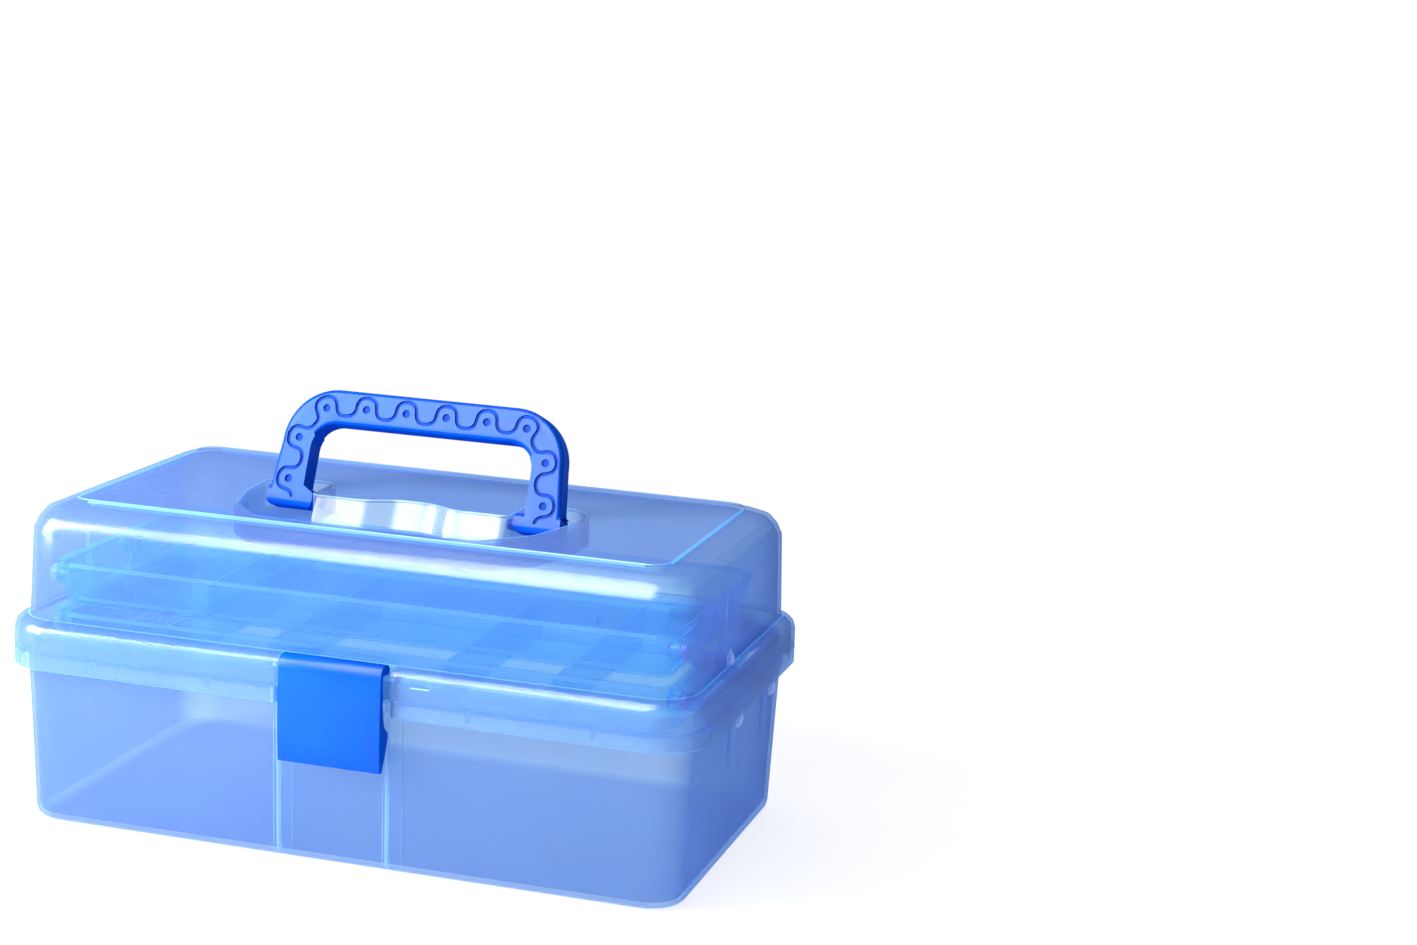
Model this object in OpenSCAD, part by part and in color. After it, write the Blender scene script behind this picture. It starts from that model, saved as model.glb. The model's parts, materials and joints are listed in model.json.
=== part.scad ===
// Art supply box: tub, domed lid, carrying handle, front latch and two cantilever trays on links.
// X runs along the box, -Y is the latch side, +Z is up. The origin is the middle of the flat bottom.

/* [Box] */
// Length over the rims
box_w = 330; // [322:1:346]
// Depth over the rims, front to back
box_d = 182; // [180:1:190]
// Corner radius of the rims in plan
rim_r = 24; // [20:1:30]
// Wall thickness of tub and lid
wall = 1.8; // [1.4:0.1:2.2]

/* [Tub] */
// Height of the tub up to the face that the lid stands on
tub_h = 81; // [79:0.5:86]
// Thickness of the tub's floor
floor_t = 2.0; // [1.6:0.1:3]
// Depth of the skirt that hangs from the tub's rim
skirt_h = 7.5; // [6:0.5:9]
// Height of the sealing lip above the rim
lip_h = 6; // [3:0.5:7]
// Inset of the tub wall from the rim, at the top of the wall
tub_in_top = 6.3; // [5.5:0.1:6.6]
// Inset of the tub wall from the rim, at the foot of the wall
tub_in_foot = 8.6; // [8:0.1:12]
// Radius of the bottom edge
foot_r = 5; // [3:0.5:7]
// Thickness of the webs under the rim
web_t = 1.3; // [1:0.1:2]
// Distance of the inner webs from the middle, front and back
web_in = 61.5; // [50:0.5:75]
// Distance of the outer webs from the middle, front and back
web_out = 118; // [90:0.5:125]
// Distance of the outer webs from the middle, at the ends
web_end = 57; // [30:0.5:60]

/* [Lid] */
// Height of the lid's skirt, up to the foot of its wall
lid_skirt_h = 14.5; // [13:0.5:17]
// Height of the lid above the tub's rim, without the raised panel
lid_h = 66; // [64:0.5:74]
// Distance from the middle to the small seat pressed in the skirt
seat_x = 36; // [31:1:60]
// Width of the small seat
seat_w = 8.5; // [6:0.5:12]
// Height of the raised panel on top
panel_h = 1.5; // [1:0.1:3]
// Inset of the raised panel from the rim
panel_in = 24.5; // [23:0.5:28]
// Inset of the lid wall from the rim, just over the skirt
lid_in_low = 7.0; // [6.6:0.1:7.3]
// Inset of the lid wall from the rim, under the shoulder
lid_in_high = 8.4; // [8:0.1:8.8]
// Height of the rounded shoulder
shoulder_h = 12; // [10:0.5:14]

/* [Handle] */
// Width over the handle's feet
handle_w = 144; // [136:1:150]
// Reach from the pivot to the top of the grip
handle_reach = 53; // [48:0.5:54]
// Thickness of the handle
handle_t = 11.6; // [9:0.2:11.8]
// Height of the grip bar
grip_h = 16.5; // [13:0.5:18]
// Width of each leg where it meets its foot
leg_w = 17; // [15:0.5:19]
// Narrowing of the handle on each side, from the feet to the grip
handle_taper = 3; // [1:0.5:4]
// Outer corner radius of the grip
grip_r = 25.5; // [22:0.5:28]
// Width of each foot
foot_w = 22.5; // [21:0.5:24]
// Drop of the feet below the pivot
foot_drop = 3.9; // [3:0.1:4.4]
// Angle that the standing handle leans back
handle_lean = 21; // [0:1:25]
// Distance of the handle's pivot in front of the middle of the box
handle_y = 1.5; // [0:0.5:3]
// Radius of the handle's pivot studs
handle_stud_r = 2.5; // [2:0.1:3]
// Depth of the well that the handle folds into
well_depth = 12.4; // [12.2:0.1:13.6]
// Room between the folded grip and the front of the well
well_room = 5.5; // [4.5:0.5:6]
// Depth of the wave and the dimples pressed into the handle's face
relief = 0.8; // [0.4:0.1:1.2]
// Width of the pressed wave
wave_w = 1.8; // [1.2:0.1:2.2]
// Distance between the dimples along the handle
wave_pitch = 19.8; // [18.5:0.1:20.2]
// Radius of the dimples
dimple_r = 1.9; // [1.4:0.1:2.2]

/* [Latch] */
// Width of the latch
latch_w = 48; // [40:1:60]
// Thickness of the latch plate
latch_t = 2.4; // [2:0.1:3]
// Height of the latch's pivot
latch_z = 64; // [62:0.5:67]
// Radius of the latch's pivot studs
latch_stud_r = 1.7; // [1.4:0.1:2]
// Room between the latch and the ends of the notch in the two rims
latch_room = 2.5; // [2:0.5:5]

/* [Trays] */
// Room between the ends of the trays and the tub's rim, for the links
tray_room = 17; // [17:0.5:19]
// Depth of the lower tray, front to back
low_d = 138; // [134:1:142]
// Height of the lower tray
low_h = 25; // [22:0.5:27]
// Depth of the upper tray, front to back
up_d = 128; // [124:1:134]
// Height of the upper tray
up_h = 20.5; // [17:0.5:21]
// Wall thickness of the trays
tray_wall = 1.5; // [1.2:0.1:1.8]
// Thickness of the dividers
div_t = 1.3; // [1:0.1:1.6]
// Drop of the dividers below the rim
div_drop = 3; // [1:0.5:6]
// Distance from the middle to the inner pair of dividers in the lower tray
low_div_in = 41.5; // [30:0.5:50]
// Distance from the middle to the outer pair of dividers in the lower tray
low_div_out = 92.5; // [80:0.5:105]
// Distance of the upper tray's cross divider from the middle
up_div_x = 72; // [50:1:90]

/* [Linkage] */
// Length of a link between its pivots
link_l = 61.5; // [60.5:0.1:62]
// Rise of a link from one pivot to the next when the box is shut
tray_rise = 23.04; // [22.8:0.02:23.2]
// Width of a link
link_w = 8; // [7:0.2:8.6]
// Thickness of a link
link_t = 2.6; // [2.2:0.1:2.6]
// Height of the lower tray's pivots when the box is shut
low_pivot_z = 88.54; // [88:0.02:89]
// Distance of the lower tray's front pivot in front of the middle when the box is shut
low_pivot_y = 59.52; // [58.5:0.02:60.5]
// Spacing of the front and rear links
pitch_front = 54.5; // [53.5:0.1:55]
// Spacing of the rear and upper links
pitch_rear = 63; // [62.5:0.1:63.5]
// Distance from the tub pivot to the step in a link
step_at = 29; // [26:0.5:32]
// Length of the lid link between its pivots
lid_link_l = 80.9; // [80:0.1:82]
// Height of the lid link's pivot on the lid
lid_pivot_z = 98; // [97.5:0.1:98.5]
// Lid pivot's distance in front of the middle
lid_pivot_y = 21; // [20:0.5:22]
// Radius of the pivot pins
pin_r = 2.0; // [1.6:0.1:2.2]
// Running clearance round the pivot pins
run = 0.08; // [0.05:0.01:0.1]

/* [Hinge] */
// Distance of the lid hinge's axis behind the rim
hinge_out = 7; // [6.5:0.1:7.5]
// Radius of the hinge knuckles
knuckle_r = 4; // [3.4:0.1:4.4]
// Distance of each hinge from the end of the rim
hinge_in = 53; // [40:1:70]
// Length of one hinge
hinge_l = 34; // [28:1:44]
// Radius of the hinge pins
hinge_pin_r = 1.5; // [1.2:0.1:1.8]

/* [Hidden] */
$fn = 40;
eps = 0.01;

shell_col = [0.50, 0.66, 0.95];
link_col = [0.80, 0.78, 0.95];
deep_blue = [0.06, 0.33, 0.88];

// Room left between faces that turn past each other
gap = 0.2;
// Half sizes of the rims
hx = box_w / 2;
hy = box_d / 2;
hinge_x = hx - hinge_in;
// Slope of the tub wall and of the lid wall
skirt_z = tub_h - skirt_h;
lip_in = tub_in_top + 1.2;
lid_top = tub_h + lid_h;
panel_top = lid_top + panel_h;
shoulder_z = lid_top - shoulder_h;
skirt_in = 0;

// Length of both trays over the rim
tray_w = box_w - 2 * tray_room;
// Room between turning ends of the handle and the well's sides and floor
foot_gap = 0.8;

// Pivots, each as [y, z] with the box shut
link_a = asin(tray_rise / link_l);
link_run = link_l * [-cos(link_a), sin(link_a)];
Q1 = [-low_pivot_y, low_pivot_z];
Q2 = Q1 + [pitch_front, 0];
Q3 = Q2 + [pitch_rear, 0];
P1 = Q1 - link_run;
P2 = Q2 - link_run;
R1 = Q2 + link_run;
R2 = Q3 + link_run;
L1 = [-lid_pivot_y, lid_pivot_z];
H1 = [hy + hinge_out, tub_h];

// The trays hang on their pivots
low_rim_z = Q1[1] + 8.0;
low_front = Q1[0] - 12;
low_z = low_rim_z - low_h;
up_rim_z = R1[1] + 7.3;
up_front = R1[0] - 7;
up_z = up_rim_z - up_h;
tray_draft = 2;
bead_w = 1;
bead_h = 2;
tray_hx = tray_w / 2 - bead_w;
// Plane inside the trays that the pins' domes sit on
tray_seat = tray_hx - tray_draft - tray_wall - 0.7;
tray_dome_r = 2.8;

// Planes of the links, counted from the trays outwards
in_x0 = tray_w / 2 + 0.4;
in_x1 = in_x0 + link_t;
out_x1 = hx - 10;
out_x0 = out_x1 - link_t;
lid_x0 = in_x1 + 0.6;
lid_x1 = lid_x0 + link_t;
boss_r = link_w / 2 + 0.6;
head_r = 3.3;
sunk = 0.9;
head_t = 0.7;
lid_dome_r = 3.4;
bore_r = pin_r + run;

// Handle and its well
grip_y = -handle_y;
well_z = panel_top - well_depth;
handle_z = well_z + foot_gap + handle_t / 2;
well_hx = handle_w / 2 + 8;
foot_x = handle_w / 2 - foot_w;
island_hx = foot_x - foot_gap;
well_front = grip_y - handle_reach - well_room;
foot_r3 = 3.2;
// Middle line of the handle: a straight grip, a round corner on each side, and two straight legs
mid_z = handle_reach - grip_h / 2;
mid_r = grip_r - grip_h / 2;
bend_x = handle_w / 2 - handle_taper - grip_r;
bend_z = handle_reach - grip_r;
leg_a = atan2(handle_w / 2 - leg_w / 2 - bend_x - mid_r, bend_z);
leg_dir = [sin(leg_a), -cos(leg_a)];
leg_top = [bend_x + mid_r * cos(leg_a), bend_z + mid_r * sin(leg_a)];
bend_s = bend_x + mid_r * (90 - leg_a) * PI / 180;

// Latch
latch_y = -hy + 3;
face_y = -hy - 3.8;
latch_hx = latch_w / 2;
ledge_z = tub_h + 10.5;
latch_foot = tub_h - 32.3;
notch_y = -hy + 3.5;
notch_hx = latch_hx + latch_room;
lug_x1 = latch_hx - latch_t - 0.5;
lug_w = 5.5;
band_x0 = latch_hx - 2.6;
band_w = 9.2;
band_t = 0.7;

// Inset of the tub wall at height z
function tub_in(z) = tub_in_foot + (tub_in_top - tub_in_foot) * (z - foot_r) / (skirt_z - foot_r);
function lid_in(z) = lid_in_low + (lid_in_high - lid_in_low) * (z - tub_h - lid_skirt_h) / (shoulder_z - tub_h - lid_skirt_h);

// Rectangle with round corners, inset by i from the rim
module plan(i, r) {
    rr = max(2, r);
    for (sx = [-1, 1], sy = [-1, 1]) translate([sx * (hx - i - rr), sy * (hy - i - rr)]) circle(rr);
    square([2 * (hx - i - rr), 2 * (hy - i)], center = true);
    square([2 * (hx - i), 2 * (hy - i - rr)], center = true);
}

module slab(z, i, r) {
    translate([0, 0, z]) linear_extrude(eps) plan(i, r);
}

// Mirrors what it is given to the left end
module ends() {
    for (s = [0, 1]) mirror([s, 0, 0]) children();
}

// A cylinder along +X from x0 to x1 round a pivot
module rod(p, x0, x1, r) {
    translate([x0, p[0], p[1]]) rotate([0, 90, 0]) cylinder(r = r, h = x1 - x0);
}

// A pin along +X: head h0 at x0, shank from x0 to x1, then a domed head of radius rd and height hd
module pin(p, x0, h0, r0, x1, rd, hd) {
    n = 6;
    dome = [for (i = [0:n]) let(a = 90 * i / n) [rd * cos(a), x1 + hd * sin(a)]];
    translate([0, p[0], p[1]]) rotate([0, 90, 0]) rotate_extrude() polygon(concat(
        [[0, x0], [r0, x0], [r0, x0 + h0], [pin_r, x0 + h0], [pin_r, x1]], dome));
}

// ---------------------------------------------------------------- tub
module tub_outer() {
    hull() {
        slab(0, tub_in_foot + foot_r * 0.85, rim_r - tub_in_foot - 1);
        slab(foot_r * 0.12, tub_in_foot + foot_r * 0.42, rim_r - tub_in_foot);
        slab(foot_r * 0.42, tub_in_foot + foot_r * 0.14, rim_r - tub_in_foot + 1);
        slab(foot_r, tub_in_foot, rim_r - tub_in_foot + 2);
        slab(skirt_z + 2, tub_in_top, rim_r - tub_in_top);
    }
}

module tub_inner() {
    hull() {
        slab(floor_t, tub_in_foot + wall + foot_r * 0.7, rim_r - tub_in_foot - 3);
        slab(floor_t + foot_r * 0.22, tub_in_foot + wall + foot_r * 0.22, rim_r - tub_in_foot - 2);
        slab(floor_t + foot_r * 0.8, tub_in_foot + wall, rim_r - tub_in_foot);
        slab(skirt_z + 2, tub_in_top + wall, rim_r - tub_in_top - wall);
        slab(tub_h + lip_h + 1, lip_in + wall, rim_r - lip_in - wall);
    }
}

module tub_rim() {
    // top of the rim, skirt and sealing lip
    difference() {
        translate([0, 0, skirt_z]) linear_extrude(skirt_h) plan(skirt_in, rim_r - skirt_in);
        translate([0, 0, skirt_z - 1]) linear_extrude(skirt_h + 1 - wall) difference() {
            plan(skirt_in + wall, rim_r - skirt_in - wall);
            plan(tub_in_top, rim_r - tub_in_top);
        }
    }
    translate([0, 0, tub_h - 1]) linear_extrude(lip_h + 1) plan(lip_in, rim_r - lip_in);
}

// Closed end of the rim beside the latch
module rim_end() {
    translate([notch_hx, 0, skirt_z]) linear_extrude(skirt_h - 0.5) difference() {
        translate([0, -hy]) square([wall, tub_in_top + 1]);
        difference() {
            translate([-1, -hy - 1]) square([3.5, 3.5]);
            translate([2.5, -hy + 2.5]) circle(2.5);
        }
    }
}

module rim_webs() {
    d = tub_in_top + 1 - skirt_in - wall / 2;
    for (x = [-web_out, -web_in, web_in, web_out], s = [-1, 1]) translate([x - web_t / 2, s > 0 ? hy - tub_in_top - 1 : -hy + skirt_in + wall / 2, skirt_z + 1.5])
        cube([web_t, d, skirt_h - 2]);
    for (y = [-web_end, 0, web_end], s = [-1, 1]) translate([s > 0 ? hx - tub_in_top - 1 : -hx + skirt_in + wall / 2, y - web_t / 2, skirt_z + 1.5])
        cube([d, web_t, skirt_h - 2]);
}

// A flat band up the front wall
module front_band() {
    foot = -hy + tub_in_foot;
    translate([band_x0, 0, 0]) rotate([90, 0, 90]) linear_extrude(band_w) polygon([
        [foot + 1, foot_r * 0.6], [foot - band_t * 0.3, foot_r * 0.6], [foot - band_t, foot_r + 2],
        [-hy + tub_in_top - band_t, skirt_z + 1], [-hy + tub_in_top + 1, skirt_z + 1]]);
}

// Lug behind the latch that holds its stud
module latch_lug() {
    z0 = latch_z - 13;
    translate([lug_x1 - lug_w, 0, 0]) rotate([90, 0, 90]) linear_extrude(lug_w) polygon([
        [-hy + tub_in(z0) + 1, z0], [-hy + tub_in(z0) - 0.2, z0], [latch_y - 2.2, latch_z - 4],
        [latch_y - 3, latch_z - 2], [latch_y - 3, latch_z + 2], [latch_y - 2, latch_z + 4.5],
        [-hy + tub_in(latch_z + 8), latch_z + 9], [-hy + tub_in(latch_z + 8) + 1, latch_z + 9]]);
}

// Room for the latch in the tub's rim, with round ends
module rim_notch() {
    y1 = -hy + tub_in_top;
    translate([0, 0, skirt_z - 1]) linear_extrude(skirt_h + 1 + eps) union() {
        translate([-notch_hx, -hy - 1]) square([2 * notch_hx, tub_in_top + 1]);
        for (s = [-1, 1]) difference() {
            translate([s * notch_hx - 2.5, -hy - 1]) square([5, 3.5]);
            translate([s * (notch_hx + 2.5), -hy + 2.5]) circle(2.5);
        }
    }
}

// Upright pads inside the end walls, with a seat outside, where the links turn
module end_pad(p) {
    translate([out_x1 + gap, p[0] - boss_r, p[1] - 23]) cube([hx - tub_in(p[1] - 23) - out_x1 - gap - 0.6, 2 * boss_r, 23]);
    rod(p, out_x1 + gap, hx - tub_in(p[1]) + 0.4, boss_r);
}

module knuckle(x0, x1, r) {
    translate([x0, H1[0], H1[1]]) rotate([0, 90, 0]) cylinder(r = r, h = x1 - x0);
}

module hinge_arm(x0, x1) {
    // bracket from the rear skirt to the knuckle
    knuckle(x0, x1, knuckle_r);
    translate([x0, 0, 0]) rotate([90, 0, 90]) linear_extrude(x1 - x0) polygon([
        [hy - skirt_in - 0.5, skirt_z], [hy - skirt_in - 0.5, tub_h - gap], [H1[0] - knuckle_r + 0.7, tub_h - gap],
        [H1[0], tub_h - knuckle_r], [hy - skirt_in + 1.5, skirt_z]]);
}

module base_tub() {
    kn = hinge_l / 3;
    color(shell_col) difference() {
        union() {
            difference() {
                union() {
                    tub_outer();
                    difference() {
                        tub_rim();
                        rim_notch();
                    }
                    rim_end();
                    mirror([1, 0, 0]) rim_end();
                }
                tub_inner();
            }
            rim_webs();
            ends() front_band();
            ends() latch_lug();
            ends() end_pad(P1);
            ends() end_pad(P2);
            ends() hinge_arm(hinge_x - hinge_l / 2, hinge_x - kn / 2 - gap);
            ends() hinge_arm(hinge_x + kn / 2 + gap, hinge_x + hinge_l / 2);
        }
        ends() rod(P1, out_x1 - 1, hx, pin_r + 0.05);
        ends() rod(P2, out_x1 - 1, hx, pin_r + 0.05);
        ends() rod([latch_y, latch_z], lug_x1 - 3.6, lug_x1 + 1, latch_stud_r + 0.08);
        ends() rod(H1, hinge_x - hinge_l / 2 - 1, hinge_x + hinge_l / 2 + 1, hinge_pin_r + 0.05);
    }
}

// ---------------------------------------------------------------- lid
module lid_wall_hull(t) {
    // t is 0 for the outside and the wall thickness for the inside
    b = rim_r - lid_in_low - t;
    hull() {
        slab(tub_h + lid_skirt_h - 2 - t, lid_in_low + t, b);
        slab(shoulder_z - t * 0.2, lid_in_high + t, b);
        slab(shoulder_z + shoulder_h * 0.42 - t * 0.4, lid_in_high + 1.8 + t, b);
        slab(shoulder_z + shoulder_h * 0.75 - t * 0.7, lid_in_high + 5 + t * 0.9, b - 2);
        slab(shoulder_z + shoulder_h * 0.93 - t * 0.95, lid_in_high + 10 + t * 0.6, b - 4);
        slab(lid_top - eps - t, lid_in_high + 17, b - 6);
    }
}

module lid_skirt_hull(t) {
    b = rim_r - skirt_in - t;
    hull() {
        slab(tub_h - (t > 0 ? 1 : 0), skirt_in + t, b);
        slab(tub_h + lid_skirt_h - 6 - t * 0.3, skirt_in + 0.1 + t, b);
        slab(tub_h + lid_skirt_h - 3 - t * 0.5, skirt_in + 1 + t * 0.9, b - 1);
        slab(tub_h + lid_skirt_h - 1 - t * 0.9, skirt_in + 2.9 + t * 0.6, b - 3);
        slab(tub_h + lid_skirt_h - t, skirt_in + 5.6, b - 5);
    }
}

// Corners of the well, anticlockwise as [x, y, radius]: room for the folded handle, a pocket behind
// each foot and a bulge for the fingers between the feet
well_half = [[well_hx - 28, well_front, 8], [well_hx - 9, grip_y - 38, 12], [well_hx - 1.5, grip_y - 12, 14],
    [well_hx, grip_y + 19.3, 12], [island_hx, grip_y + 19.3, 4], [island_hx, grip_y - 8.5, 4],
    [22, grip_y - 8.5, 20], [8, grip_y - 1, 20]];
well_pts = concat(well_half, [for (i = [len(well_half) - 1:-1:0]) [-well_half[i][0], well_half[i][1], well_half[i][2]]]);

function unit(v) = v / norm(v);
function xy(p) = [p[0], p[1]];
function turn(a, b) = a[0] * b[1] - a[1] * b[0];

// Moves every side of a closed outline outwards by d and keeps its corners concentric
function grow(pts, d) = let(n = len(pts)) [for (i = [0:n - 1]) let(
    e0 = unit(xy(pts[i]) - xy(pts[(i + n - 1) % n])),
    e1 = unit(xy(pts[(i + 1) % n]) - xy(pts[i])),
    n0 = [e0[1], -e0[0]],
    n1 = [e1[1], -e1[0]],
    p = xy(pts[i]) + d * (n0 + n1) / (1 + n0 * n1))
    [p[0], p[1], pts[i][2] + (turn(e0, e1) > 0 ? d : -d)]];

// Points of a closed outline with its corners rounded
function rounded(pts, k) = let(n = len(pts)) [for (i = [0:n - 1]) let(
    p = xy(pts[i]),
    r = max(0.5, pts[i][2]),
    u = unit(xy(pts[(i + n - 1) % n]) - p),
    w = unit(xy(pts[(i + 1) % n]) - p),
    h = acos(u * w) / 2,
    c = p + unit(u + w) * r / sin(h),
    s = turn(u, w) > 0 ? 1 : -1,
    q = p + u * r / tan(h) - c,
    a0 = atan2(q[1], q[0]))
    for (j = [0:k]) c + r * [cos(a0 - s * (180 - 2 * h) * j / k), sin(a0 - s * (180 - 2 * h) * j / k)]];

module latch_notch() {
    w = notch_hx;
    translate([-w, -hy - 1, tub_h - 1]) cube([2 * w, notch_y + hy + 1, ledge_z - tub_h + 1]);
    translate([-w, -hy - 1, ledge_z - eps]) cube([2 * w, lid_in_low + 1, lid_skirt_h]);
}

module latch_notch_wall() {
    // back, ends and ledge of the notch
    w = notch_hx + wall;
    difference() {
        translate([-w, -hy + skirt_in + 0.3, tub_h]) cube([2 * w, lid_in_low + wall - skirt_in - 0.3, ledge_z - tub_h]);
        translate([-w + wall + 2, notch_y + wall, tub_h - 1]) cube([2 * (w - wall - 2), 20, ledge_z - tub_h + 1 - wall]);
        translate([-w + wall, notch_y + wall, tub_h - 1]) cube([2, 20, ledge_z - tub_h + 1 - wall]);
        translate([w - wall - 2, notch_y + wall, tub_h - 1]) cube([2, 20, ledge_z - tub_h + 1 - wall]);
        translate([-w - 1, notch_y + wall, tub_h - 1]) cube([2 * w + 2, 20, lip_h + 2]);
    }
}

module lid_shell() {
    kn = hinge_l / 3;
    color(shell_col) difference() {
        union() {
            difference() {
                union() {
                    lid_wall_hull(0);
                    lid_skirt_hull(0);
                    translate([0, 0, lid_top - wall]) linear_extrude(panel_h + wall) plan(panel_in, 9);
                }
                lid_wall_hull(wall);
                lid_skirt_hull(wall);
                translate([0, 0, lid_top - wall - 2]) linear_extrude(panel_h + 2) plan(panel_in + wall, 9 - wall);
            }
            translate([0, 0, well_z - wall]) linear_extrude(well_depth + wall - 0.4)
                polygon(rounded(grow(well_pts, wall), 5));
            latch_notch_wall();
            ends() knuckle(hinge_x - kn / 2, hinge_x + kn / 2, knuckle_r);
            ends() translate([hinge_x - kn / 2, 0, 0]) rotate([90, 0, 90]) linear_extrude(kn) polygon([
                [hy - skirt_in - 0.6, tub_h + gap], [H1[0] - knuckle_r + 1, tub_h + gap], [H1[0], tub_h + knuckle_r - 0.1],
                [hy - skirt_in - 0.6, tub_h + 8]]);
            ends() rod(L1, lid_x1 + gap, hx - lid_in(lid_pivot_z) + 0.3, boss_r);
            ends() translate([lid_x1 + gap, L1[0] - boss_r, L1[1]]) cube([hx - lid_in_high - lid_x1 - gap - 0.5, 2 * boss_r, 30]);
        }
        translate([0, 0, well_z]) linear_extrude(well_depth + 2) polygon(rounded(well_pts, 5));
        latch_notch();
        // small seat pressed into the skirt beside the latch
        translate([seat_x, -hy - 1, tub_h + 7.4]) cube([seat_w, 1.9, 7.5]);
        ends() rod([grip_y, handle_z], island_hx - wall - 1, island_hx + 1, handle_stud_r + 0.08);
        ends() rod(L1, lid_x1 - 1, hx, pin_r + 0.05);
        ends() rod(L1, hx - lid_in(lid_pivot_z) + 0.3, hx + 1, lid_dome_r + 0.3);
        ends() rod(H1, hinge_x - kn, hinge_x + kn, hinge_pin_r + run);
    }
}

// ---------------------------------------------------------------- handle
// Drawn standing upright in the X-Z plane round its pivot, then leant back
module grip_plan() {
    // half widths at the foot and the shoulder
    w0 = handle_w / 2;
    w1 = w0 - handle_taper;
    ww = w0 - leg_w;
    wt = ww - 0.5;
    it = handle_reach - grip_h;
    ri = 12;
    difference() {
        union() {
            polygon([[-w0, -0.5], [w0, -0.5], [w1, bend_z], [bend_x, handle_reach], [-bend_x, handle_reach], [-w1, bend_z]]);
            for (s = [-1, 1]) translate([s * bend_x, bend_z]) circle(grip_r, $fn = 72);
        }
        polygon([[-ww, -9], [ww, -9], [wt, it - ri], [wt - ri, it], [-wt + ri, it], [-wt, it - ri]]);
        for (s = [-1, 1]) translate([s * (wt - ri), it - ri]) circle(ri, $fn = 48);
    }
}

// Rectangle from [x0, y0] to [x1, y1] with its two lower corners round
module round_foot(x0, x1, y0, y1, r) {
    translate([x0, y0 + r]) square([x1 - x0, y1 - y0 - r]);
    translate([x0 + r, y0]) square([x1 - x0 - 2 * r, y1 - y0]);
    for (x = [x0 + r, x1 - r]) translate([x, y0 + r]) circle(r);
}

// The foot turns with the leg, and its lower edges are round to clear the floor of the well
module handle_foot() {
    intersection() {
        translate([foot_x, 0, 0]) rotate([90, 0, 90]) linear_extrude(foot_w)
            round_foot(-handle_t / 2, handle_t / 2, -foot_drop, 5, foot_r3);
        translate([0, handle_t / 2, 0]) rotate([90, 0, 0]) linear_extrude(handle_t)
            round_foot(foot_x, handle_w / 2, -foot_drop, 5, foot_r3);
    }
    rotate([0, 90, 0]) translate([0, 0, island_hx - wall - 1.2]) cylinder(r = handle_stud_r, h = wall + 4);
}

// Point of the handle's middle line at distance s from the middle of the grip, and its outward direction
function side(s) = s < 0 ? -1 : 1;
function mid_point(s) = let(d = abs(s), a = (d - bend_x) / mid_r * 180 / PI, p = d < bend_x ? [d, mid_z]
    : d < bend_s ? [bend_x + mid_r * sin(a), bend_z + mid_r * cos(a)]
    : leg_top + (d - bend_s) * leg_dir) [side(s) * p[0], p[1]];
function mid_out(s) = let(d = abs(s), a = (d - bend_x) / mid_r * 180 / PI, p = d < bend_x ? [0, 1]
    : d < bend_s ? [sin(a), cos(a)] : [-leg_dir[1], leg_dir[0]]) [side(s) * p[0], p[1]];
// The wave runs outside every dimple and inside between them, and its bends are rounder than a sine
function wave_point(s) = let(f = 360 * (s / wave_pitch - 0.5), n = mid_out(s))
    mid_point(s) + n * (0.7 + 4.7 * cos(f)) + [n[1], -n[0]] * 1.3 * sin(2 * f);
function wave_along(s) = unit(wave_point(s + 0.1) - wave_point(s - 0.1));
function wave_side(s, w) = let(t = wave_along(s)) wave_point(s) + w * [-t[1], t[0]];
function wave_end(s, e) = let(t = e * wave_along(s)) [for (a = [30:30:150])
    wave_point(s) + wave_w / 2 * (cos(a) * [-t[1], t[0]] + sin(a) * t)];

module pressed_wave() {
    s1 = 4.93 * wave_pitch;
    n = 216;
    polygon(concat([for (i = [0:n]) wave_side(-s1 + 2 * s1 * i / n, wave_w / 2)], wave_end(s1, 1),
        [for (i = [n:-1:0]) wave_side(-s1 + 2 * s1 * i / n, -wave_w / 2)], wave_end(-s1, -1)));
}

module carry_handle() {
    color(deep_blue) translate([0, grip_y, handle_z]) rotate([-handle_lean, 0, 0]) difference() {
        union() {
            translate([0, handle_t / 2, 0]) rotate([90, 0, 0]) linear_extrude(handle_t) grip_plan();
            ends() handle_foot();
        }
        translate([0, -handle_t / 2 + relief, 0]) rotate([90, 0, 0]) linear_extrude(2) pressed_wave();
        for (k = [-4.5:4.5]) translate([mid_point(k * wave_pitch)[0], -handle_t / 2 + relief, mid_point(k * wave_pitch)[1]])
            rotate([90, 0, 0]) cylinder(r = dimple_r, h = 2, $fn = 24);
    }
}

// ---------------------------------------------------------------- latch
module latch_profile() {
    polygon([[notch_y + 2.7, ledge_z + 0.5], [notch_y + 2.7, ledge_z + 2.8], [notch_y + 0.8, ledge_z + 4.5],
        [face_y + 3.2, ledge_z + 5], [face_y + 0.8, ledge_z + 3], [face_y + 0.1, ledge_z - 2], [face_y - 0.4, tub_h - 6],
        [face_y - 0.1, tub_h - 21], [face_y + 0.8, latch_foot + 0.3], [face_y + 1.2, latch_foot], [face_y + 0.8 + latch_t, latch_foot],
        [face_y - 0.1 + latch_t, tub_h - 21], [face_y - 0.4 + latch_t, tub_h - 6], [face_y + 0.1 + latch_t, ledge_z - 2.5],
        [face_y + 0.7 + latch_t, ledge_z + 0.5]]);
}

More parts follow.
